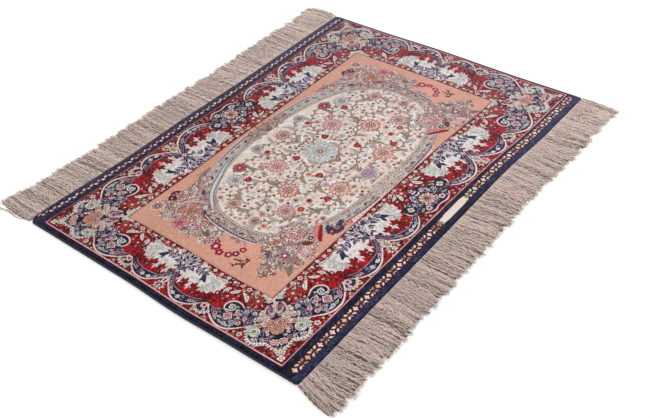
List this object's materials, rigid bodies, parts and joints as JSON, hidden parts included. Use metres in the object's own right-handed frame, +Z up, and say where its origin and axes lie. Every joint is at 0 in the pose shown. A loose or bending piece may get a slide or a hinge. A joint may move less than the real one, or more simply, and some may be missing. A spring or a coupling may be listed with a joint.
{
  "type": "hand-knotted silk rug",
  "caption": "Small flat knotted silk rug with overcast selvedges, flat-woven ends and a long warp fringe on its two long sides, lying on a floor or table.",
  "frame": {"origin": "middle of the whole rug's box, on the surface that it lies on", "axes": "+X along the fringed sides towards the far selvedge, +Y along the selvedges towards the back fringe, +Z up out of the pile"},
  "size_m": [0.934, 0.811, 0.0043],
  "materials": {
    "knotted_silk": "knotted silk pile, soft sheen, many-coloured",
    "overcast_silk": "overcast silk yarn, soft sheen",
    "warp_silk": "undyed silk warps, soft sheen"
  },
  "bodies": {
    "root": {"rug_pile": "knotted_silk", "selvedge_near": "overcast_silk", "selvedge_far": "overcast_silk", "fringe_front": "warp_silk", "fringe_back": "warp_silk"}
  },
  "joints": []
}
